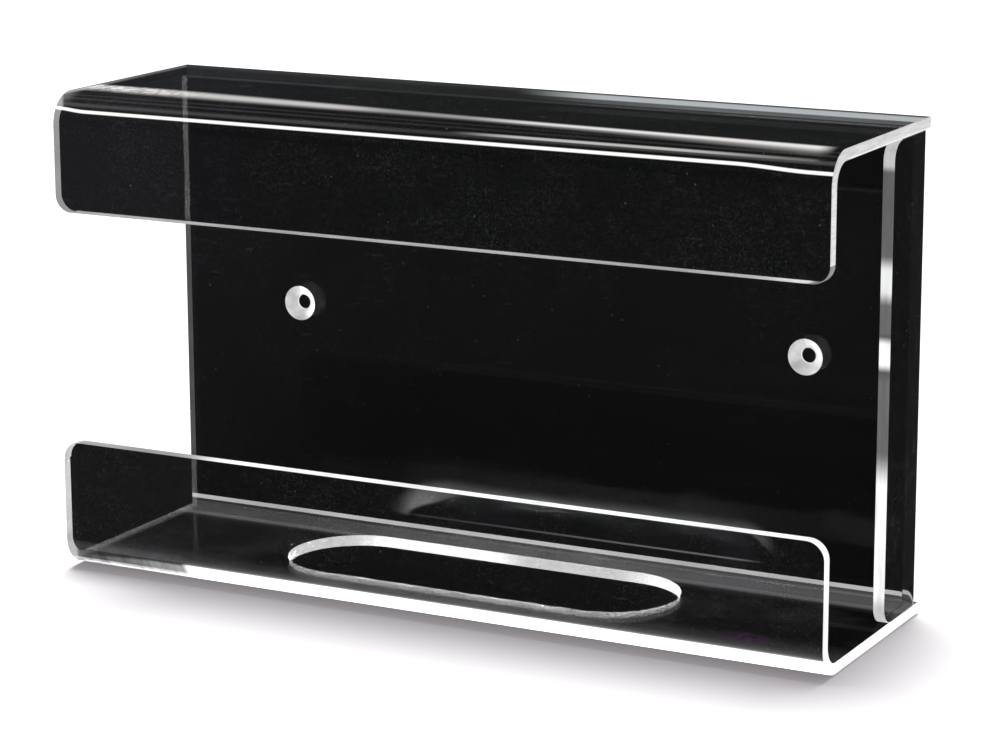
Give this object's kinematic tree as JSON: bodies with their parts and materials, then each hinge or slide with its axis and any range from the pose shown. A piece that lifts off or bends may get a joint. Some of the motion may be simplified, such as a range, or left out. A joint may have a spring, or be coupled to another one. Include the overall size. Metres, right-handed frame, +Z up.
{
  "type": "disposable glove dispenser",
  "caption": "Wall-mount dispenser for a carton of disposable gloves: clear bent-acrylic roof with front flap, floor with front lip and oval slot, screw-on back with a side wing.",
  "frame": {"origin": "centre of the footprint, on the underside of the floor panel", "axes": "+X along the length, to the right seen from the front; +Y towards the wall; +Z up"},
  "size_m": [0.2384, 0.0706, 0.14],
  "materials": {
    "acrylic_sheet": "clear cast acrylic sheet, polished faces, bright frosted cut edges"
  },
  "bodies": {
    "root": {"top_hood": "acrylic_sheet", "bottom_tray": "acrylic_sheet", "back_plate": "acrylic_sheet"}
  },
  "joints": []
}
